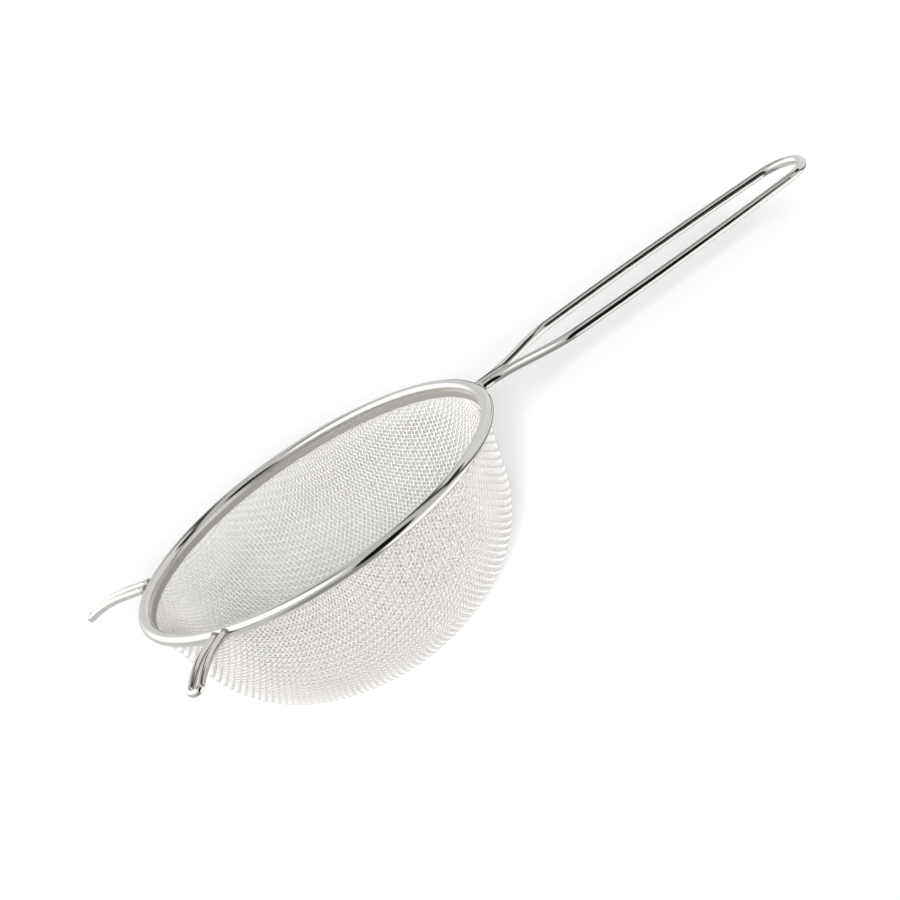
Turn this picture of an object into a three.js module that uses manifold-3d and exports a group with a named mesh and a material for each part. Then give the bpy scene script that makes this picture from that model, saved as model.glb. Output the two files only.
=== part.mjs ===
// Mesh strainer: a woven wire bowl held in a rolled rim, with a hairpin wire handle and two pot rests.
// Millimetres, +Z up. The bowl stands on the origin and the handle points along +X.
import * as THREE from 'three';
import { mergeVertices } from 'three/addons/utils/BufferGeometryUtils.js';
import Module from 'manifold-3d';

const wasm = await Module();
wasm.setup();

// Rim: a strip rolled into a round bead over a hoop wire and the edge of the cloth
const rimDiameter = 160;
const beadDiameter = 4.6;
const stripThickness = 0.45;
const innerLipLength = 4.1;

// Bowl: a leaning wall, a round knuckle and a shallow crown with a small flat to stand on
const bowlHeight = 69.4;
const clothThickness = 0.7;
const wallLean = THREE.MathUtils.degToRad(15);
const knuckleRadius = 51;
const crownRadius = 92;
const restFlatRadius = 6;

// Wire cloth, drawn far coarser than life: a square grid of ribs and gaps, and the hem that the rim holds.
// From rib to rib is three steps, one along the rib's width and two along the gap's.
const gapsAcross = 12;
const stepsPerRib = 3;
const hemWidth = 6.5;
const hemOverlap = 1;

// Handle: one wire, side by side at the rim, then two rails and a round loop
const handleWire = 3.85;
const handleLength = 163;
const handleDrop = 1.9;
const handleSlope = THREE.MathUtils.degToRad(2.5);
const neckLength = 5.2;
const shoulderLength = 36;
const gripWidth = 30.2;
const shoulderWidth = 28.4;
const gripWidest = 80;
const loopRadius = 12.8;

// Pot rests: two short hairpins opposite the handle
const footWire = 3.2;
const footPitch = 4.6;
const footReach = 33.3;
const footStraight = 9;
const footBendRadius = 52;
const footRise = THREE.MathUtils.degToRad(2);
const footHeight = 1;
const footAngle = THREE.MathUtils.degToRad(37.5);
const footSplay = THREE.MathUtils.degToRad(7.8);

// Gap kept between pieces that touch, and how finely round surfaces and bent wires are stepped
const clearance = 0.3;
const turnSteps = 72;
const wireSides = 12;
const handleStep = 4;
const footStep = 1.6;

// Sizes that follow from the ones above
const rimRadius = rimDiameter / 2;
const beadRadius = beadDiameter / 2;
const beadInside = beadRadius - stripThickness;
const beadCentre = new THREE.Vector2(rimRadius - beadRadius, bowlHeight);
const hoopWire = 2 * beadInside - clothThickness - 3 * clearance;
const clothOutside = clothThickness + clearance - beadInside;
const knuckleTop = onWall(clothOutside - knuckleRadius, 0);
const crownCentre = new THREE.Vector2(0, Math.sqrt(crownRadius ** 2 - restFlatRadius ** 2));
const knuckleCentre = knucklePlace();
const joinAngle = knuckleCentre.clone().sub(crownCentre).angle() - 2 * Math.PI;
const crownLength = crownRadius * (joinAngle + Math.PI / 2);
const knuckleLength = knuckleRadius * (-wallLean - joinAngle);
const blankRadius = crownLength + knuckleLength + knuckleTop.distanceTo(knuckleCentre);
const ribPitch = (2 * (blankRadius - hemWidth)) / gapsAcross;
const ribWidth = ribPitch / stepsPerRib;
const shoulderEnd = neckLength + shoulderLength;
const loopCentre = handleLength - handleWire / 2 - loopRadius;
const footTip = footReach - footWire / 2 - footPitch / 2;
const footStart = clearance + ((footPitch + footWire) / 2) * Math.tan(footSplay);

const polished = { color: 0xd9dadb, roughness: 0.12, metalness: 1 };
const steel = { color: 0xb9babb, roughness: 0.35, metalness: 1 };
const strainer = new THREE.Group();

function addPiece(name, geometry, finish) {
  const mesh = new THREE.Mesh(geometry, new THREE.MeshStandardMaterial(finish));
  mesh.name = name;
  strainer.add(mesh);
  return mesh;
}

function onCircle(centre, radius, angle) {
  return new THREE.Vector2(Math.cos(angle), Math.sin(angle)).multiplyScalar(radius).add(centre);
}

function arc(centre, radius, from, to, steps) {
  return Array.from({ length: steps + 1 }, (_, i) => {
    return onCircle(centre, radius, from + ((to - from) * i) / steps);
  });
}

function turned(profile) {
  return new THREE.LatheGeometry(profile, turnSteps).rotateX(Math.PI / 2);
}

function asSolid(geometry) {
  const merged = mergeVertices(geometry.deleteAttribute('normal').deleteAttribute('uv'));
  const vertProperties = merged.getAttribute('position').array;
  const triVerts = merged.getIndex().array;
  return new wasm.Manifold(new wasm.Mesh({ numProp: 3, vertProperties, triVerts }));
}

function asGeometry(solid) {
  const { vertProperties, triVerts } = solid.getMesh();
  const geometry = new THREE.BufferGeometry();
  geometry.setAttribute('position', new THREE.BufferAttribute(vertProperties, 3));
  geometry.setIndex(new THREE.BufferAttribute(triVerts, 1));
  geometry.computeVertexNormals();
  return geometry;
}

function bentWire(points, diameter, stepLength) {
  const path = new THREE.CatmullRomCurve3(points);
  const section = new THREE.Shape().absarc(0, 0, diameter / 2, 0, 2 * Math.PI);
  return new THREE.ExtrudeGeometry(section, {
    extrudePath: path,
    steps: Math.ceil(path.getLength() / stepLength),
    curveSegments: wireSides / 2,
  });
}

// A point of the rim's section, measured square to the bowl's wall and up along it from the bead's centre
function onWall(outward, upward) {
  return new THREE.Vector2(outward, upward).rotateAround(new THREE.Vector2(), -wallLean).add(beadCentre);
}

function rimBand() {
  const seam = clothOutside + clearance;
  const outerSeam = -Math.acos(seam / beadRadius);
  const innerSeam = -Math.acos(seam / beadInside);
  const profile = [
    ...arc(beadCentre, beadRadius, outerSeam - wallLean, Math.PI - wallLean, 20),
    onWall(-beadRadius, -innerLipLength),
    onWall(-beadInside, -innerLipLength),
    ...arc(beadCentre, beadInside, Math.PI - wallLean, innerSeam - wallLean, 14),
  ];
  profile.push(profile[0].clone());
  return turned(profile);
}

// The hoop sits in the bead's outer half and presses the cloth against the inner lip
function rimHoop() {
  const centre = onWall(beadInside - clearance - hoopWire / 2, 0);
  const section = arc(centre, hoopWire / 2, 0, 2 * Math.PI, wireSides);
  section[wireSides] = section[0].clone();
  return turned(section);
}

// Centre of the knuckle arc: it touches the wall's outside face and the crown from within
function knucklePlace() {
  const start = knuckleTop.clone().sub(crownCentre);
  const down = new THREE.Vector2(-Math.sin(wallLean), -Math.cos(wallLean));
  const along = start.dot(down);
  const beyond = start.lengthSq() - (crownRadius - knuckleRadius) ** 2;
  const distance = -along + Math.sqrt(along ** 2 - beyond);
  return start.addScaledVector(down, distance).add(crownCentre);
}

// A point of the bowl's section, at a distance from the axis along the outside face and set in from it.
// The middle of the crown is pressed flat.
function bowlSection(distance, inset) {
  if (distance < crownLength) {
    const place = onCircle(crownCentre, crownRadius - inset, distance / crownRadius - Math.PI / 2);
    return place.setY(Math.max(place.y, inset));
  }
  if (distance < crownLength + knuckleLength) {
    const angle = joinAngle + (distance - crownLength) / knuckleRadius;
    return onCircle(knuckleCentre, knuckleRadius - inset, angle);
  }
  return onWall(clothOutside - inset, distance - blankRadius);
}

// The cloth is a flat round blank drawn into the bowl: a point's distance from the blank's middle becomes
// its distance along the bowl's section, and its height above the blank goes into the bowl
function drawIntoBowl(geometry) {
  const points = geometry.getAttribute('position');
  for (let i = 0; i < points.count; i += 1) {
    const flat = new THREE.Vector2(points.getX(i), points.getY(i));
    const place = bowlSection(flat.length(), points.getZ(i));
    flat.setLength(place.x);
    points.setXYZ(i, flat.x, flat.y, place.y);
  }
  return geometry;
}

// A rib right across the blank, in square steps, so that crossing ribs share their corners
function clothRib(offset, turn) {
  const steps = stepsPerRib * gapsAcross + 1;
  const strip = new THREE.BoxGeometry(steps * ribWidth, ribWidth, clothThickness, steps);
  strip.translate(0, offset, clothThickness / 2).rotateZ(turn);
  return asSolid(drawIntoBowl(strip));
}

// The ribs stop a little above the hem's lower edge
function meshBowl() {
  const hem = turned([
    onWall(clothOutside, -hemWidth),
    onWall(clothOutside, 0),
    onWall(clothOutside - clothThickness, 0),
    onWall(clothOutside - clothThickness, -hemWidth),
    onWall(clothOutside, -hemWidth),
  ]);
  const offsets = Array.from({ length: gapsAcross - 1 }, (_, i) => (i + 1 - gapsAcross / 2) * ribPitch);
  const ribs = offsets.flatMap((offset) => [clothRib(offset, 0), clothRib(offset, Math.PI / 2)]);
  const ribTop = onWall(clothOutside, hemOverlap - hemWidth).y;
  const above = new THREE.BoxGeometry(3 * rimDiameter, 3 * rimDiameter, rimDiameter);
  above.translate(0, 0, ribTop + rimDiameter / 2);
  const grid = ribs.reduce((joined, rib) => joined.add(rib));
  return asGeometry(grid.subtract(asSolid(above)).add(asSolid(hem)));
}

// Half the distance between the two wires, at a distance along the handle
function railOffset(x) {
  const pair = (handleWire + clearance) / 2;
  const shoulder = shoulderWidth / 2;
  const grip = gripWidth / 2;
  if (x < shoulderEnd) {
    return THREE.MathUtils.lerp(pair, shoulder, THREE.MathUtils.smoothstep(x, neckLength, shoulderEnd));
  }
  if (x < gripWidest) {
    return THREE.MathUtils.lerp(grip, shoulder, ((gripWidest - x) / (gripWidest - shoulderEnd)) ** 2);
  }
  return THREE.MathUtils.lerp(grip, loopRadius, ((x - gripWidest) / (loopCentre - gripWidest)) ** 2);
}

function handleHairpin() {
  const railSteps = 30;
  const rail = Array.from({ length: railSteps }, (_, i) => {
    const x = THREE.MathUtils.lerp(clearance, loopCentre, i / railSteps);
    return new THREE.Vector3(x, railOffset(x), 0);
  });
  const loop = arc(new THREE.Vector2(loopCentre, 0), loopRadius, Math.PI / 2, -Math.PI / 2, 12);
  const back = rail.map((point) => new THREE.Vector3(point.x, -point.y, 0)).reverse();
  const points = [...rail, ...loop.map((point) => new THREE.Vector3(point.x, point.y, 0)), ...back];
  return bentWire(points, handleWire, handleStep);
}

// The foot's side view: a rising straight, then an arc that bends down to the tip.
// A splayed foot's square ends stand off the rim, so that the nearer edge keeps the clearance.
function footLine() {
  const bend = new THREE.Vector2(footStart + footStraight, footStraight * Math.tan(footRise));
  const centre = new THREE.Vector2(Math.sin(footRise), -Math.cos(footRise));
  centre.multiplyScalar(footBendRadius).add(bend);
  const last = Math.acos((footTip - centre.x) / footBendRadius);
  return [new THREE.Vector2(footStart, 0), ...arc(centre, footBendRadius, Math.PI / 2 + footRise, last, 8)];
}

function footHairpin() {
  const line = footLine();
  const end = line[line.length - 1];
  const along = end.clone().sub(line[line.length - 2]).normalize();
  const turn = arc(new THREE.Vector2(), footPitch / 2, Math.PI / 2, -Math.PI / 2, 8).slice(1, -1);
  const leg = (side) => line.map((point) => new THREE.Vector3(point.x, (side * footPitch) / 2, point.y));
  const bend = turn.map((point) => {
    const place = end.clone().addScaledVector(along, point.x);
    return new THREE.Vector3(place.x, point.y, place.y);
  });
  return bentWire([...leg(1), ...bend, ...leg(-1).reverse()], footWire, footStep);
}

function addFoot(name, side) {
  const foot = addPiece(name, footHairpin(), polished);
  const root = Math.PI - side * footAngle;
  foot.position.set(rimRadius * Math.cos(root), rimRadius * Math.sin(root), bowlHeight + footHeight);
  foot.rotation.z = root - side * footSplay;
}

addPiece('rim_band', rimBand(), polished);
addPiece('rim_core_wire', rimHoop(), steel);
addPiece('mesh_bowl', meshBowl(), steel);

const handle = addPiece('handle_wire', handleHairpin(), polished);
handle.position.set(rimRadius, 0, bowlHeight - handleDrop);
handle.rotation.y = handleSlope;

addFoot('foot_left', 1);
addFoot('foot_right', -1);

export default strainer;
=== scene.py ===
"""Looks of a mesh strainer: a woven wire bowl in a rolled rim, a hairpin wire handle and two pot rests.

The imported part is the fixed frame, in metres with +Z up and the handle along +X.
Sizes below are in millimetres and repeat those of the part's source.
"""

import bpy
import numpy as np
from mathutils import Matrix


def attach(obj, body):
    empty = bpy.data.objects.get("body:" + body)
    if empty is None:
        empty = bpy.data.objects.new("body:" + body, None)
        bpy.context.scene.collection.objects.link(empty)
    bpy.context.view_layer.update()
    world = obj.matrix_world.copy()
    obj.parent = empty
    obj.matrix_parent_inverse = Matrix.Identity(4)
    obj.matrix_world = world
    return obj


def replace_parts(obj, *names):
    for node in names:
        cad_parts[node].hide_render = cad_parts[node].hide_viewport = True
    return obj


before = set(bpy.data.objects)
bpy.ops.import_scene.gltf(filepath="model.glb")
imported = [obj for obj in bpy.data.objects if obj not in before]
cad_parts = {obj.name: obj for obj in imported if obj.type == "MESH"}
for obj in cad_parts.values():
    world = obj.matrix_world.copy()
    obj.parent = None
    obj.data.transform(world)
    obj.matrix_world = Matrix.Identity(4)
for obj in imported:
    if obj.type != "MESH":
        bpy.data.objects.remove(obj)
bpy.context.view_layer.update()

# A millimetre in metres, and the share of its width that a strand leaves free at either side of its bake map
MM = 0.001
BAKE_MARGIN = 0.08

# Rim: a strip rolled into a bead, with a lip down the inside
RIM_RADIUS = 80.0
BEAD_RADIUS = 2.3
STRIP = 0.45
LIP = 4.1
BULGE = 0.55
BULGE_DEPTH = 2.0
CLEARANCE = 0.3

# Bowl: a leaning wall, a round knuckle and a shallow crown
BOWL_HEIGHT = 69.4
CLOTH = 0.7
LEAN = np.radians(15)
KNUCKLE = 51.0
CROWN = 92.0
REST_FLAT = 6.0

# Wire cloth of the bowl: spacing of its two sets of wires, their diameter, the weave's turn about the axis,
# how far past the rim its net is worked out, and the pieces that each set is made in
WARP_PITCH = 1.68
WEFT_PITCH = 1.88
CLOTH_WIRE = 0.55
WEAVE_TURN = np.radians(27)
PAST_RIM = 20.0
WEAVE_PIECES = 3

# Handle
HANDLE_WIRE = 3.85
HANDLE_LENGTH = 163.0
HANDLE_DROP = 1.9
HANDLE_SLOPE = np.radians(2.5)
NECK = 5.2
SHOULDER = 36.0
SHOULDER_WIDTH = 28.4
GRIP_WIDTH = 30.2
GRIP_WIDEST = 80.0
LOOP_RADIUS = 12.8

# Pot rests
FOOT_WIRE = 3.2
FOOT_PITCH = 4.6
FOOT_REACH = 33.3
FOOT_STRAIGHT = 9.0
FOOT_BEND = 52.0
FOOT_RISE = np.radians(2)
FOOT_HEIGHT = 1.0
FOOT_ANGLE = np.radians(37.5)
FOOT_SPLAY = np.radians(7.8)

# Small round edge of the handle's and rests' ends
WIRE_EDGE = 0.3

# Welds of the wires' ends to the rim: how far they reach along the wire and into the bead, and their
# thickness as a share of the wire's, away from the rim and added at it
WELD_LENGTH = 0.6
WELD_INSIDE = 1.4
WELD_FIT = 1.01
WELD_SWELL = 0.2

# How finely pieces are stepped: points on lines and circles, rings that a wire of the cloth has at least,
# rounds of Newton's method, and millimetres between a bent wire's rings
SECTION_STEPS = 200
RIM_STEPS = 360
BEAD_STEPS = 60
LIP_STEPS = 40
EDGE_STEPS = 7
RINGS_PER_PITCH = 4
CLOTH_SIDES = 6
FEWEST_RINGS = 3
NEWTON_ROUNDS = 5
WIRE_SIDES = 32
WELD_RINGS = 9
RAIL_STEPS = 300
LOOP_STEPS = 60
HANDLE_STEP = 1.0
FOOT_RAIL_STEPS = 80
FOOT_LOOP_STEPS = 30
FOOT_STEP = 0.5
# Smallest radius divided by, and the share of a step that an end point is moved by to have a direction
NEAR_AXIS = 1e-6
END_SHIFT = 1e-3

# Finishes: size of the smudges, how many times longer than wide the drawing marks are, the part of the noise
# that they use, their depth in the bump, and their shift from one wire of the cloth to the next
SMUDGE = 14.0
MARK_STRETCH = 10
MARK_RANGE = (0.3, 0.7)
MARK_BUMP = 0.05
MARK_SHIFT = 7.3
# Dull film on the cloth and the rim's lip, which keeps them from being wholly metallic. The lip fades in
# between these places of the section, in from the bead's centre and down from it
CLOTH_METALLIC = 0.89
LIP_METALLIC = 0.88
LIP_ROUGHNESS = 0.9
LIP_IN = (-0.5, -1.0)
LIP_DOWN = (-1.4, -2.0)

# Camera of the photograph: turned about Z, raised, and rolled, because the part is kept with its rim level.
# It looks at a point that is offset across and up from the middle of the rim
CAMERA_TURN = np.radians(-12.762)
CAMERA_RISE = np.radians(19.036)
CAMERA_ROLL = np.radians(-33.851)
CAMERA_DISTANCE = 1200.0
CAMERA_AIM = (55.65, -9.96)
FOCAL_PIXELS = 3144.4
IMAGE_SIDE = 900
SENSOR_WIDTH = 36.0

# Brightness of the backdrop, and the patches before it: degrees right of and above the camera, lean,
# half width, half height, softness of the edge, brightness
BACKDROP = 0.92
STUDIO = [
    (-30, 68, 0, 74, 38, 0.10, 0.85),  # dim upper front
    (70, -62, 0, 42, 28, 0.30, 0.45),  # shaded ground to the right
    (141, 53, 0, 51, 51, 0.05, 0.08),  # dark gap before the overhead box
    (141, 53, 0, 42, 42, 0.05, 1.10),  # overhead box
    (-154, 32, 0, 20, 13, 0.25, 0.95),  # wall behind, where that gap ends
    (65, 58, 0, 8, 24, 0.15, 0.04),  # dark gap above the right wall
    (-74, 6, -8, 67, 33, 0.18, 1.85),  # left wall
    (-72, 43, 0, 28, 6, 0.30, 0.30),  # its shaded top edge
    (93, -17, 0, 36, 26, 0.10, 1.70),  # right wall
    (25, 4, 22, 18, 42, 0.10, 0.01),  # dark gap round the camera
]
# Floor: half its width, its colour, the even light on it and the glow that the camera sees
FLOOR_HALF = 3000.0
FLOOR_COLOUR = "#F2F2F2"
FLOOR_AMBIENT = 0.17
FLOOR_GLOW = 0.07
# Lamps of the floor and cloth: degrees right of and above the camera, spread in degrees, strength
LAMPS = [
    (3.0, 1.0, 8, 5.0),  # right of the camera's line, so that the bowl's shadow shows through the cloth
    (-4.0, 1.0, 8, 3.4),  # to its left, for the shadow's edge at the lower right
]

# Sizes that follow from these
BEAD_PLACE = RIM_RADIUS - BEAD_RADIUS
CLOTH_OUTSIDE = CLOTH + CLEARANCE - (BEAD_RADIUS - STRIP)
CLOTH_MIDDLE = CLOTH_OUTSIDE - CLOTH / 2
LOOP_PLACE = HANDLE_LENGTH - HANDLE_WIRE / 2 - LOOP_RADIUS


def on_wall(outward, upward):
    """Radius and height of a point of the rim's section, measured square to the leaning wall
    and up along it from the bead's centre."""
    radius = BEAD_PLACE + np.cos(LEAN) * outward + np.sin(LEAN) * upward
    height = BOWL_HEIGHT - np.sin(LEAN) * outward + np.cos(LEAN) * upward
    return np.stack([radius, height], -1)


def unit(vectors):
    """Vectors divided by their lengths."""
    return vectors / np.linalg.norm(vectors, axis=-1, keepdims=True)


def distance_along(line):
    """Distance of each point of a line from its first, as the running sum of the steps between them."""
    return np.concatenate([[0], np.cumsum(np.linalg.norm(np.diff(line, axis=0), axis=1))])


def angles_round(count):
    """Angles of points at even steps round a circle."""
    return np.arange(count) * 2 * np.pi / count


# Centres of the bowl's two arcs: the knuckle touches the wall and, from within, the crown
crown_centre = np.array([0, np.sqrt(CROWN**2 - REST_FLAT**2)])
wall_down = np.array([-np.sin(LEAN), -np.cos(LEAN)])
knuckle_line = on_wall(CLOTH_OUTSIDE - KNUCKLE, 0) - crown_centre
line_along = knuckle_line @ wall_down
line_beyond = knuckle_line @ knuckle_line - (CROWN - KNUCKLE) ** 2
line_length = np.sqrt(line_along**2 - line_beyond) - line_along
knuckle_centre = knuckle_line + line_length * wall_down + crown_centre
join_angle = np.arctan2(*(knuckle_centre - crown_centre)[::-1])


def bowl_face(points):
    """Distance of points outside the cloth's middle face, and the face's outward normals there.

    The face is turned from the crown's arc, the knuckle's arc and the straight wall. A point belongs
    to the arc whose sector it lies in, and otherwise to the wall."""
    inset = CLOTH / 2
    place = np.stack([np.hypot(points[..., 0], points[..., 1]), points[..., 2]], -1)
    from_crown = place - crown_centre
    from_knuckle = place - knuckle_centre
    on_crown = np.arctan2(from_crown[..., 1], from_crown[..., 0]) <= join_angle
    past_knuckle = np.arctan2(from_knuckle[..., 1], from_knuckle[..., 0]) > -LEAN
    wall_out = np.array([np.cos(LEAN), -np.sin(LEAN)])
    distance = np.select(
        [on_crown, past_knuckle],
        [np.linalg.norm(from_crown, axis=-1) - CROWN + inset, (place - on_wall(CLOTH_MIDDLE, 0)) @ wall_out],
        np.linalg.norm(from_knuckle, axis=-1) - KNUCKLE + inset,
    )
    outward = np.select(
        [on_crown[..., None], past_knuckle[..., None]],
        [unit(from_crown), np.broadcast_to(wall_out, place.shape)],
        unit(from_knuckle),
    )
    round_axis = points[..., :2] / np.maximum(place[..., :1], NEAR_AXIS)
    return distance, np.concatenate([outward[..., :1] * round_axis, outward[..., 1:]], -1)


def cloth_section():
    """Distance along the cloth's middle face from the axis, with the radius and height there,
    carried straight on past the rim."""
    inset = CLOTH / 2
    crown_angles = np.linspace(-np.pi / 2, join_angle, SECTION_STEPS)[:, None]
    knuckle_angles = np.linspace(join_angle, -LEAN, SECTION_STEPS)[1:, None]
    line = np.concatenate([
        crown_centre + (CROWN - inset) * np.hstack([np.cos(crown_angles), np.sin(crown_angles)]),
        knuckle_centre + (KNUCKLE - inset) * np.hstack([np.cos(knuckle_angles), np.sin(knuckle_angles)]),
        on_wall(CLOTH_MIDDLE, np.array([PAST_RIM])),
    ])
    return distance_along(line), line


def cloth_net():
    """Crossings of the bowl's wires, as a square array of points with the bowl's axis in its middle.

    Wires don't stretch, so each crossing lies on the bowl's face one pitch from the crossing before it on
    either wire. The two middle wires follow the bowl's section. From these the quarter between them
    is filled diagonal by diagonal with Newton's method, and mirrored to make the other three quarters."""
    along, line = cloth_section()
    radius, height = line.T
    warp_steps = np.arange(0, along[-1], WARP_PITCH)
    weft_steps = np.arange(0, along[-1], WEFT_PITCH)
    rows, columns = len(warp_steps), len(weft_steps)
    quarter = np.zeros((rows, columns, 3))
    quarter[:, 0, 0] = np.interp(warp_steps, along, radius)
    quarter[:, 0, 2] = np.interp(warp_steps, along, height)
    quarter[0, :, 1] = np.interp(weft_steps, along, radius)
    quarter[0, :, 2] = np.interp(weft_steps, along, height)
    for diagonal in range(2, rows + columns - 1):
        row = np.arange(max(1, diagonal - columns + 1), min(rows, diagonal))
        column = diagonal - row
        one, other = quarter[row - 1, column], quarter[row, column - 1]
        place = one + other - quarter[row - 1, column - 1]
        for _ in range(NEWTON_ROUNDS):
            distance, normal = bowl_face(place)
            from_one, from_other = place - one, place - other
            miss = np.stack([
                (from_one**2).sum(-1) - WARP_PITCH**2,
                (from_other**2).sum(-1) - WEFT_PITCH**2,
                distance,
            ], -1)
            slopes = np.stack([2 * from_one, 2 * from_other, normal], -2)
            place = place - np.linalg.solve(slopes, miss[..., None])[..., 0]
        quarter[row, column] = place
    half = np.concatenate([quarter[:0:-1] * [-1, 1, 1], quarter])
    return np.concatenate([half[:, :0:-1] * [1, -1, 1], half], 1)


def turned(points, angle):
    """Points turned about the bowl's axis."""
    cosine, sine = np.cos(angle), np.sin(angle)
    return points @ np.array([[cosine, sine, 0], [-sine, cosine, 0], [0, 0, 1]])


def circle_rings(centres, normals, radii, sides):
    """Circles of points carried along lines of centres, each square to its line.

    A ring's points are its centre plus the radius times a cosine of the normal and a sine of the
    direction square to both the line and the normal."""
    along = unit(np.gradient(centres, axis=-2))
    sideways = unit(np.cross(along, normals))
    upward = np.cross(sideways, along)
    angles = angles_round(sides)
    spokes = np.cos(angles)[:, None] * upward[..., None, :] + np.sin(angles)[:, None] * sideways[..., None, :]
    return centres[..., None, :] + radii[..., None, None] * spokes


def two_triangles(grid):
    """The corners of two outward triangles for each square of a grid of strands, rings and sides."""
    here, beside = grid[:, :-1, :-1], grid[:, :-1, 1:]
    after, across = grid[:, 1:, :-1], grid[:, 1:, 1:]
    corners = np.stack([here, beside, across, here, across, after], 3)
    return corners.reshape(-1, 3, *grid.shape[3:])


def skin(rings, full=None, closed=False):
    """Outward triangles over strands of rings, an array of strands, rings, sides and coordinates.

    A ring that is not full is one point, which closes a strand's end. Triangles with no area are left out.
    Returns the points that are used, the triangles, and the strand, ring and side of each corner, counted
    on past the last where a strand closes on itself."""
    strands, count, sides = rings.shape[:3]
    number = np.arange(strands * count * sides).reshape(strands, count, sides)
    shown = number if full is None else np.where(full[..., None], number, number[..., :1])
    if closed:
        shown = np.concatenate([shown, shown[:, :1]], 1)
    shown = np.concatenate([shown, shown[..., :1]], 2)
    triangles = two_triangles(shown)
    places = two_triangles(np.moveaxis(np.indices(shown.shape), 0, -1))
    first, second, third = triangles.T
    real = (first != second) & (second != third) & (third != first)
    used, triangles = np.unique(triangles[real], return_inverse=True)
    return used, triangles.reshape(-1, 3), places[real].reshape(-1, 3)


def add_piece(name, rings, straight, material, full=None, closed=False):
    """A piece of the strainer from strands of rings in millimetres. straight gives each point's place
    on the wire or strip before it was bent, for the marks that its making left along it. The bake map lays
    the strands side by side, each unrolled along its length."""
    used, triangles, corners = skin(rings, full, closed)
    mesh = bpy.data.meshes.new(name)
    mesh.vertices.add(len(used))
    mesh.vertices.foreach_set("co", (rings.reshape(-1, 3)[used] * MM).ravel())
    mesh.loops.add(triangles.size)
    mesh.loops.foreach_set("vertex_index", triangles.ravel())
    mesh.polygons.add(len(triangles))
    mesh.polygons.foreach_set("loop_start", np.arange(len(triangles)) * 3)
    mesh.polygons.foreach_set("use_smooth", np.ones(len(triangles), bool))
    before_bending = mesh.attributes.new("before_bending", "FLOAT_VECTOR", "POINT")
    before_bending.data.foreach_set("vector", straight.reshape(-1, 3)[used].ravel())
    strand, ring, side = corners.T
    across = (strand + BAKE_MARGIN + (1 - 2 * BAKE_MARGIN) * side / side.max()) / (strand.max() + 1)
    bake_map = mesh.uv_layers.new(name="OFBake")
    bake_map.uv.foreach_set("vector", np.stack([ring / ring.max(), across], -1).astype(np.float32).ravel())
    mesh.update(calc_edges=True)
    mesh.validate()
    mesh.materials.append(material)
    piece = bpy.data.objects.new(name, mesh)
    bpy.context.scene.collection.objects.link(piece)
    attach(piece, "root")
    return piece


def straight_wire(length_along, radius, sides):
    """Places on a straight wire: a circle across it and the distance along it."""
    angles = angles_round(sides)
    shape = length_along.shape + (sides,)
    across = np.broadcast_to(radius * np.cos(angles), shape)
    over = np.broadcast_to(radius * np.sin(angles), shape)
    along = np.broadcast_to(length_along[..., None], shape)
    return np.stack([across, over, along], -1)


def weave(net, pitch, over_first, name, material):
    """The wires that run one way through the cloth, in a few pieces.

    Rings stand between crossings on the straight line from one to the next. Each is lifted along the face's
    normal by a cosine of its place, which takes the wire over one crossing and under the next. Wires end inside
    the bead, and none goes below the plane that the bowl stands on."""
    place = np.arange(0, len(net) - 1, 1 / RINGS_PER_PITCH)
    before = place.astype(int)
    share = (place - before)[:, None, None]
    line = net[before] * (1 - share) + net[before + 1] * share
    line[..., 2] = np.maximum(line[..., 2], CLOTH_WIRE)
    normal = bowl_face(line)[1]
    wires = np.arange(net.shape[1])
    lift = over_first * CLOTH_WIRE / 2 * np.cos(np.pi * (place[:, None] + wires))
    inside = line[..., 2] < on_wall(CLOTH_MIDDLE, 0)[1]
    centres = (line + lift[..., None] * normal).swapaxes(0, 1)
    full = inside.swapaxes(0, 1)
    present = full.sum(1) >= FEWEST_RINGS
    centres, full, normal = centres[present], full[present], normal.swapaxes(0, 1)[present]
    radii = np.where(full, CLOTH_WIRE / 2, 0.0)
    rings = turned(circle_rings(centres, normal, radii, CLOTH_SIDES), WEAVE_TURN)
    wire_number = np.arange(len(rings))
    length = np.broadcast_to(place * pitch, full.shape) + wire_number[:, None] * MARK_SHIFT
    straight = straight_wire(length, CLOTH_WIRE / 2, CLOTH_SIDES)
    share_done = np.cumsum(full.sum(1)) / full.sum()
    splits = np.searchsorted(share_done, np.arange(1, WEAVE_PIECES) / WEAVE_PIECES)
    pieces = []
    for part, group in enumerate(np.split(wire_number, splits)):
        pieces.append(add_piece(
            f"{name}_{part + 1}", rings[group], straight[group], material, full[group]))
    return pieces


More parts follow.
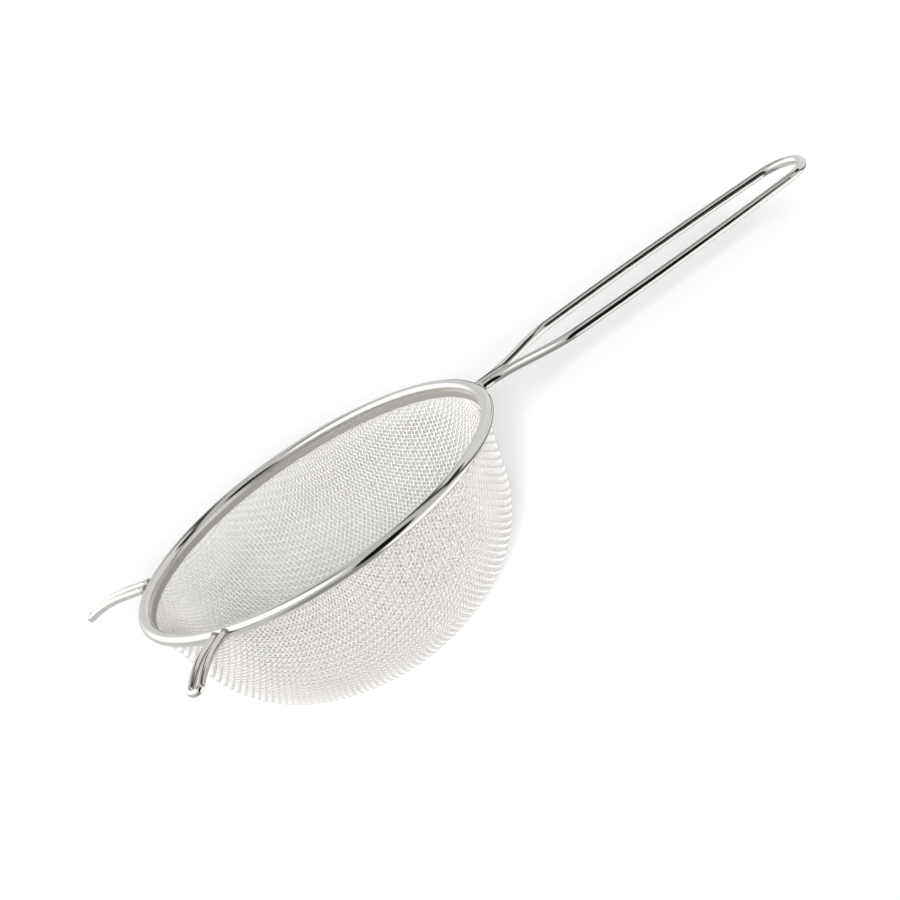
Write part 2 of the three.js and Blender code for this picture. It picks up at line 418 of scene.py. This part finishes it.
def rim_strip(material):
    """The rolled strip: its section turned about the bowl's axis.

    The section's middle line is most of a circle, which bulges over the inside, and a lip. The bulge fades
    out down the lip as a squared cosine. The section is that line moved half a strip's thickness to either
    side, with a half circle round each edge."""
    middle = BEAD_RADIUS - STRIP / 2
    seam = -np.arccos((CLOTH_OUTSIDE + CLEARANCE) / BEAD_RADIUS)
    angles = np.linspace(seam, np.pi, BEAD_STEPS)
    down = np.linspace(0, LIP - STRIP / 2, LIP_STEPS)[1:]
    inward = middle + BULGE * (np.cos(angles) < 0)
    fading = BULGE * np.cos(np.pi / 2 * np.minimum(down / BULGE_DEPTH, 1)) ** 2
    line = np.concatenate([
        np.stack([inward * np.cos(angles), middle * np.sin(angles)], -1),
        np.stack([-middle - fading, -down], -1),
    ])
    along = unit(np.gradient(line, axis=0))
    out = np.stack([along[:, 1], -along[:, 0]], -1)
    half = np.linspace(0, np.pi, EDGE_STEPS)[1:-1, None]
    low_edge = line[-1] + STRIP / 2 * (np.cos(half) * out[-1] + np.sin(half) * np.array([0.0, -1.0]))
    seam_on = np.array([out[0, 1], -out[0, 0]])
    seam_edge = line[0] + STRIP / 2 * (-np.cos(half) * out[0] + np.sin(half) * seam_on)
    section = np.concatenate([line + STRIP / 2 * out, low_edge, (line - STRIP / 2 * out)[::-1], seam_edge])
    radius, height = on_wall(section[:, 0], section[:, 1]).T
    steps = angles_round(RIM_STEPS)
    rings = np.stack(np.broadcast_arrays(
        np.cos(steps)[:, None] * radius, np.sin(steps)[:, None] * radius, height), -1)
    straight = np.broadcast_to(np.column_stack([section, np.zeros(len(section))]), rings.shape)
    return add_piece("rim_band_polished", rings[None], straight[None], material, closed=True)


def evenly(line, step):
    """The same line with points at even steps along it."""
    along = distance_along(line)
    places = np.linspace(0, along[-1], int(along[-1] / step) + 1)
    return np.stack([np.interp(places, along, column) for column in line.T], -1)


def half_turn(radius, count):
    """Points of a half circle that bulges forwards, from its left end to its right."""
    angles = np.linspace(np.pi / 2, -np.pi / 2, count)
    return radius * np.stack([np.cos(angles), np.sin(angles)], -1)


def hairpin(rail, loop, step):
    """Flat line of a bent wire: out along one rail, round a half circle, and back along the other."""
    return evenly(np.concatenate([rail, loop, (rail * [1, -1])[::-1]]), step)


def bent_wire(name, centres, normals, diameter, material, slot):
    """A round wire along a line of centres. Its end faces are flat, with a small round edge."""
    centres = np.concatenate([centres[:1], centres, centres[-1:]])
    normals = np.concatenate([normals[:1], normals, normals[-1:]])
    radii = np.full(len(centres), diameter / 2)
    radii[[1, -2]] -= WIRE_EDGE
    full = np.ones(len(centres), bool)
    full[[0, -1]] = False
    lines = centres.copy()
    lines[[0, -1]] += END_SHIFT * (centres[[1, -2]] - centres[[2, -3]])
    rings = circle_rings(lines, normals, radii, WIRE_SIDES)
    rings[[0, -1]] = centres[[0, -1], None]
    straight = straight_wire(distance_along(centres), diameter / 2, WIRE_SIDES)
    return add_piece(name, rings[None], straight[None], material, full[None])


def handle_rail():
    """One rail of the handle in its own plane: side by side at the rim, a smooth step out to
    the shoulder, then a shallow bow that narrows to the loop."""
    x = np.linspace(CLEARANCE, LOOP_PLACE, RAIL_STEPS)[:-1]
    shoulder_end = NECK + SHOULDER
    share = np.clip((x - NECK) / SHOULDER, 0, 1)
    step = share * share * (3 - 2 * share)
    pair, shoulder, grip = (HANDLE_WIRE + CLEARANCE) / 2, SHOULDER_WIDTH / 2, GRIP_WIDTH / 2
    spread = pair + (shoulder - pair) * step
    rise = grip + (shoulder - grip) * ((GRIP_WIDEST - x) / (GRIP_WIDEST - shoulder_end)) ** 2
    fall = grip + (LOOP_RADIUS - grip) * ((x - GRIP_WIDEST) / (LOOP_PLACE - GRIP_WIDEST)) ** 2
    return np.stack([x, np.select([x < shoulder_end, x < GRIP_WIDEST], [spread, rise], fall)], -1)


def handle_line():
    """Centre line of the handle's wire and its upward normals: a flat hairpin, tilted down a little."""
    flat = hairpin(handle_rail(), half_turn(LOOP_RADIUS, LOOP_STEPS) + [LOOP_PLACE, 0], HANDLE_STEP)
    forward = np.array([np.cos(HANDLE_SLOPE), 0, -np.sin(HANDLE_SLOPE)])
    upward = np.array([np.sin(HANDLE_SLOPE), 0, np.cos(HANDLE_SLOPE)])
    root = np.array([RIM_RADIUS, 0, BOWL_HEIGHT - HANDLE_DROP])
    centres = root + flat[:, :1] * forward + flat[:, 1:] * np.array([0, 1, 0])
    return centres, np.broadcast_to(upward, centres.shape)


def foot_line(side):
    """Centre line of a pot rest's wire and its upward normals: a flat hairpin bent down along an arc, like
    a strip of card over a tube."""
    start = CLEARANCE + (FOOT_PITCH + FOOT_WIRE) / 2 * np.tan(FOOT_SPLAY)
    tip = FOOT_REACH - FOOT_WIRE / 2 - FOOT_PITCH / 2
    arc_centre = np.array([start + FOOT_STRAIGHT, FOOT_STRAIGHT * np.tan(FOOT_RISE)])
    arc_centre = arc_centre + FOOT_BEND * np.array([np.sin(FOOT_RISE), -np.cos(FOOT_RISE)])
    straight_length = FOOT_STRAIGHT / np.cos(FOOT_RISE)
    arc_length = FOOT_BEND * (np.pi / 2 + FOOT_RISE - np.arccos((tip - arc_centre[0]) / FOOT_BEND))
    length = straight_length + arc_length
    places = np.linspace(0, length, FOOT_RAIL_STEPS)[:-1]
    rail = np.stack([places, np.full_like(places, FOOT_PITCH / 2)], -1)
    flat = hairpin(rail, half_turn(FOOT_PITCH / 2, FOOT_LOOP_STEPS) + [length, 0], FOOT_STEP)
    along = np.clip(flat[:, 0], 0, straight_length)
    bend = np.clip(flat[:, 0] - straight_length, 0, arc_length)
    past = np.maximum(flat[:, 0] - length, 0)
    slope = FOOT_RISE - bend / FOOT_BEND
    arc_out = FOOT_BEND * (np.sin(FOOT_RISE) - np.sin(slope))
    arc_up = FOOT_BEND * (np.cos(slope) - np.cos(FOOT_RISE))
    x = start + along * np.cos(FOOT_RISE) + arc_out + past * np.cos(slope)
    z = along * np.sin(FOOT_RISE) + arc_up + past * np.sin(slope)
    centres = np.stack([x, flat[:, 1], z], -1)
    normals = np.stack([-np.sin(slope), np.zeros_like(slope), np.cos(slope)], -1)
    root_angle = np.pi - side * FOOT_ANGLE
    root = np.array([
        RIM_RADIUS * np.cos(root_angle), RIM_RADIUS * np.sin(root_angle), BOWL_HEIGHT + FOOT_HEIGHT])
    turn = root_angle - side * FOOT_SPLAY
    return turned(centres, turn) + root, turned(normals, turn)


def weld(name, centres, normals, diameter, material, slot):
    """The welds of a wire's two ends: collars that start inside the bead and thin out along the wire.

    A collar's radius is the wire's, swollen by the square of the share of its length that is left."""
    share = np.linspace(0, 1, WELD_RINGS)
    ends, normals = centres[[0, -1]], normals[[0, -1]]
    along = unit(centres[[1, -2]] - ends)
    lines = ends[:, None] + ((WELD_INSIDE + WELD_LENGTH) * share - WELD_INSIDE)[:, None] * along[:, None]
    radii = np.broadcast_to(diameter / 2 * (WELD_FIT + WELD_SWELL * (1 - share) ** 2), lines.shape[:2])
    rings = circle_rings(lines, np.broadcast_to(normals[:, None], lines.shape), radii, WIRE_SIDES)
    full = np.ones(lines.shape[:2], bool)
    full[:, [0, -1]] = False
    straight = straight_wire(np.broadcast_to(share * WELD_LENGTH, lines.shape[:2]), diameter / 2, WIRE_SIDES)
    return add_piece(name, rings, straight, material, full)


def linear(hex_colour):
    """A colour written as sRGB hex, as linear light."""
    parts = np.array([int(hex_colour[i:i + 2], 16) for i in (1, 3, 5)]) / 255
    return tuple(np.where(parts <= 0.04045, parts / 12.92, ((parts + 0.055) / 1.055) ** 2.4)) + (1.0,)


def add_node(tree, kind, settings=None, **inputs):
    """A node with its settings and inputs. An input is a value or another node's output socket."""
    node = tree.nodes.new(kind)
    for name, value in (settings or {}).items():
        setattr(node, name, value)
    for name, value in inputs.items():
        socket = node.inputs[name.replace("_", " ")]
        if isinstance(value, bpy.types.NodeSocket):
            tree.links.new(value, socket)
        else:
            socket.default_value = value
    return node


def new_material(name):
    """A material with its node tree and its shader."""
    material = bpy.data.materials.new(name)
    material.use_nodes = True
    tree = material.node_tree
    return material, tree, tree.nodes["Principled BSDF"]


def stainless(name, light, dark, smooth, rough, mark_size, metallic=1.0):
    """Stainless steel: fine marks along the wire or strip vary its roughness, and smudges its colour."""
    material, tree, shader = new_material(name)
    shader.inputs["Metallic"].default_value = metallic
    before_bending = add_node(tree, "ShaderNodeAttribute", {"attribute_name": "before_bending"})
    across, along = 1 / mark_size, 1 / (MARK_STRETCH * mark_size)
    drawn_out = add_node(
        tree, "ShaderNodeMapping", Vector=before_bending.outputs["Vector"], Scale=(across, across, along))
    marks = add_node(
        tree, "ShaderNodeTexNoise", Vector=drawn_out.outputs["Vector"], Scale=1.0, Detail=3.0).outputs["Fac"]
    roughness = add_node(
        tree, "ShaderNodeMapRange", Value=marks, From_Min=MARK_RANGE[0], From_Max=MARK_RANGE[1],
        To_Min=smooth, To_Max=rough)
    place = add_node(tree, "ShaderNodeTexCoord").outputs["Object"]
    smudges = add_node(tree, "ShaderNodeTexNoise", Vector=place, Scale=1 / (SMUDGE * MM), Detail=2.0)
    colour = add_node(
        tree, "ShaderNodeMixRGB", Fac=smudges.outputs["Fac"], Color1=linear(light), Color2=linear(dark))
    bump = add_node(tree, "ShaderNodeBump", Height=marks, Strength=MARK_BUMP, Distance=mark_size * MM)
    tree.links.new(colour.outputs["Color"], shader.inputs["Base Color"])
    tree.links.new(roughness.outputs["Result"], shader.inputs["Roughness"])
    tree.links.new(bump.outputs["Normal"], shader.inputs["Normal"])
    return material


def rolled_strip(name, light, dark, lip_painted_grey, smooth, rough, mark_size):
    """The same steel for the rim. Its bead is polished, and the lip inside, which the wheel doesn't reach,
    stays dull under a film.
    Its even grey is partly that dullness and partly painted reflection: a darker colour that stands in for the
    grey cloth it faces."""
    material = stainless(name, light, dark, smooth, rough, mark_size)
    tree = material.node_tree
    shader = tree.nodes["Principled BSDF"]
    before_bending = add_node(tree, "ShaderNodeAttribute", {"attribute_name": "before_bending"})
    section = add_node(tree, "ShaderNodeSeparateXYZ", Vector=before_bending.outputs["Vector"])
    inner = add_node(
        tree, "ShaderNodeMapRange", Value=section.outputs["X"], From_Min=LIP_IN[0], From_Max=LIP_IN[1])
    on_lip = add_node(
        tree, "ShaderNodeMapRange", Value=section.outputs["Y"], From_Min=LIP_DOWN[0], From_Max=LIP_DOWN[1],
        To_Max=inner.outputs["Result"]).outputs["Result"]
    polished = shader.inputs["Roughness"].links[0].from_socket
    dull = add_node(tree, "ShaderNodeMapRange", Value=on_lip, To_Min=polished, To_Max=LIP_ROUGHNESS)
    bright = shader.inputs["Base Color"].links[0].from_socket
    # The lip's darker colour is painted reflection of the grey cloth that it faces
    colour = add_node(tree, "ShaderNodeMixRGB", Fac=on_lip, Color1=bright, Color2=linear(lip_painted_grey))
    film = add_node(tree, "ShaderNodeMapRange", Value=on_lip, To_Min=1.0, To_Max=LIP_METALLIC)
    tree.links.new(dull.outputs["Result"], shader.inputs["Roughness"])
    tree.links.new(film.outputs["Result"], shader.inputs["Metallic"])
    tree.links.new(colour.outputs["Color"], shader.inputs["Base Color"])
    return material


# Directions of the camera's picture, and the point that it looks at
back = np.array([
    np.sin(CAMERA_TURN) * np.cos(CAMERA_RISE),
    -np.cos(CAMERA_TURN) * np.cos(CAMERA_RISE),
    np.sin(CAMERA_RISE),
])
level = np.array([np.cos(CAMERA_TURN), np.sin(CAMERA_TURN), 0])
upright = np.cross(back, level)
right = level * np.cos(CAMERA_ROLL) + upright * np.sin(CAMERA_ROLL)
photo_axes = np.stack([right, np.cross(back, right), back], 1)
aim = CAMERA_AIM[0] * level + CAMERA_AIM[1] * upright + np.array([0, 0, BOWL_HEIGHT])


def link_object(name, data, axes, place):
    """A camera or lamp with the given axes, at a place in millimetres."""
    made = bpy.data.objects.new(name, data)
    matrix = np.eye(4)
    matrix[:3, :3] = axes
    matrix[:3, 3] = place * MM
    made.matrix_world = Matrix(matrix)
    bpy.context.scene.collection.objects.link(made)
    return made


def photo_camera():
    """The camera, far off on the line back from the point that it looks at."""
    data = bpy.data.cameras.new("photo_camera")
    data.sensor_width = SENSOR_WIDTH
    data.sensor_fit = "HORIZONTAL"
    data.lens = data.sensor_width * FOCAL_PIXELS / IMAGE_SIDE
    camera = link_object("photo_camera", data, photo_axes, aim + CAMERA_DISTANCE * back)
    bpy.context.scene.camera = camera


def looking_at(turn, rise, tilt=0.0):
    """Axes of something out in the studio: across it, up it, and towards it. Degrees right of and above
    the camera as the object sees it, and its lean to the left."""
    turn, rise, tilt = np.radians([turn, rise, tilt])
    towards = np.array([np.sin(turn) * np.cos(rise), np.sin(rise), np.cos(turn) * np.cos(rise)])
    across = np.array([np.cos(turn), 0, -np.sin(turn)])
    up = np.cross(towards, across)
    tilted = np.stack([
        np.cos(tilt) * across + np.sin(tilt) * up,
        np.cos(tilt) * up - np.sin(tilt) * across,
        towards,
    ], 1)
    return photo_axes @ tilted


def studio():
    """Soft walls and dark gaps round the object, which the polished steel shows as its streaks.

    Each is an oval patch of sky: the distance from its middle, scaled by its half sizes, blends from what is
    round it to its own brightness. The floor gets an even light, and the camera itself sees white."""
    world = bpy.data.worlds.new("studio")
    bpy.context.scene.world = world
    world.use_nodes = True
    tree = world.node_tree
    direction = add_node(tree, "ShaderNodeTexCoord").outputs["Generated"]
    light = BACKDROP
    for turn, rise, tilt, half_width, half_height, edge, brightness in STUDIO:
        axes = looking_at(turn, rise, tilt)
        halves = np.radians([half_width, half_height])
        reach = np.sin(halves) / np.sqrt(1 - (1 - np.cos(halves)) ** 2)
        local = add_node(
            tree, "ShaderNodeMapping", {"vector_type": "TEXTURE"}, Vector=direction, Location=axes[:, 2],
            Rotation=Matrix(axes).to_euler(), Scale=(*reach, 1.0))
        distance = add_node(
            tree, "ShaderNodeVectorMath", {"operation": "LENGTH"}, Vector=local.outputs["Vector"])
        light = add_node(
            tree, "ShaderNodeMapRange", {"interpolation_type": "SMOOTHSTEP"}, Value=distance.outputs["Value"],
            From_Min=1 + edge, From_Max=1 - edge, To_Min=light, To_Max=brightness).outputs["Result"]
    ray = add_node(tree, "ShaderNodeLightPath").outputs
    on_floor = add_node(
        tree, "ShaderNodeMapRange", Value=ray["Is Diffuse Ray"], To_Min=light, To_Max=FLOOR_AMBIENT)
    seen = add_node(
        tree, "ShaderNodeMapRange", Value=ray["Is Camera Ray"], To_Min=on_floor.outputs["Result"], To_Max=1.0)
    background = tree.nodes["Background"]
    background.inputs["Color"].default_value = (1, 1, 1, 1)
    tree.links.new(seen.outputs["Result"], background.inputs["Strength"])


def floor_lamps():
    """Soft light on the floor and the cloth from beside the camera: the object's shadow falls behind it and
    shows through the cloth, and a narrow edge of it lies to the lower right. What the steel mirrors comes
    from the studio's walls."""
    for turn, rise, spread, strength in LAMPS:
        data = bpy.data.lights.new("floor_lamp", "SUN")
        data.angle = np.radians(spread)
        data.energy = strength
        lamp = link_object("floor_lamp", data, looking_at(turn, rise), aim)
        lamp.visible_glossy = False


def white_floor():
    """A wide flat floor under the bowl's rest. It glows a little to the camera, so that it is white and
    still keeps the object's shadow. The steel shows the studio's walls in place of it."""
    mesh = bpy.data.meshes.new("floor")
    half = FLOOR_HALF * MM
    corners = [(-half, -half, 0), (half, -half, 0), (half, half, 0), (-half, half, 0)]
    mesh.from_pydata(corners, [], [(0, 1, 2, 3)])
    floor = bpy.data.objects.new("floor", mesh)
    floor.visible_glossy = False
    material, tree, shader = new_material("white_paper")
    shader.inputs["Base Color"].default_value = linear(FLOOR_COLOUR)
    shader.inputs["Roughness"].default_value = 1.0
    shader.inputs["Specular IOR Level"].default_value = 0.0
    shader.inputs["Emission Color"].default_value = (1, 1, 1, 1)
    camera_ray = add_node(tree, "ShaderNodeLightPath").outputs["Is Camera Ray"]
    glow = add_node(tree, "ShaderNodeMapRange", Value=camera_ray, To_Max=FLOOR_GLOW)
    tree.links.new(glow.outputs["Result"], shader.inputs["Emission Strength"])
    mesh.materials.append(material)
    bpy.context.scene.collection.objects.link(floor)


# The marks on these steels are really a few hundredths of a millimetre wide and are drawn coarser here.
# Mirror-polished wire: dark and bright surroundings show in it as sharp streaks along its length
polished = stainless("polished_stainless_wire", "#CCCAC7", "#C1BFBB", 0.05, 0.10, 0.4)
# Rolled strip: sharp streaks round the polished bead, and an even grey on the lip, whose darker colour is
# painted reflection of the cloth
strip = rolled_strip("rolled_stainless_strip", "#CCCAC7", "#C1BFBB", "#BCB9B5", 0.05, 0.10, 0.4)
# Drawn wire of the cloth: softer and whiter, with a broad highlight, and pale even where it mirrors dark
cloth = stainless("drawn_stainless_wire", "#F4F2F0", "#ECEAE8", 0.25, 0.40, 0.5, CLOTH_METALLIC)
# Weld metal: greyer and rougher than the wires it joins, with no sharp streaks
weld_metal = stainless("weld_steel", "#BEBBB6", "#9A968F", 0.25, 0.45, 0.8)
# Plain drawn wire of the hoop inside the bead: an even dull grey
hoop = stainless("hoop_wire_steel", "#B4B2AF", "#A6A39F", 0.35, 0.5, 0.6)

net = cloth_net()
warp = weave(net, WARP_PITCH, 1.0, "mesh_bowl_warp", cloth)
weft = weave(net.swapaxes(0, 1), WEFT_PITCH, -1.0, "mesh_bowl_weft", cloth)
for piece in warp + weft:
    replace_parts(piece, "mesh_bowl")
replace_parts(rim_strip(strip), "rim_band")

handle = handle_line()
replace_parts(bent_wire("handle_wire_polished", *handle, HANDLE_WIRE, polished, "handle_wire"), "handle_wire")
weld("handle_weld", *handle, HANDLE_WIRE, weld_metal, "handle_wire")
for node, side in (("foot_left", 1), ("foot_right", -1)):
    foot = foot_line(side)
    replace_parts(bent_wire(node + "_polished", *foot, FOOT_WIRE, polished, "foot"), node)
    weld(node + "_weld", *foot, FOOT_WIRE, weld_metal, "foot")

hoop_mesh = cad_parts["rim_core_wire"].data
hoop_mesh.materials.clear()
hoop_mesh.materials.append(hoop)

photo_camera()
white_floor()
studio()
floor_lamps()
bpy.context.scene.view_settings.view_transform = "Standard"
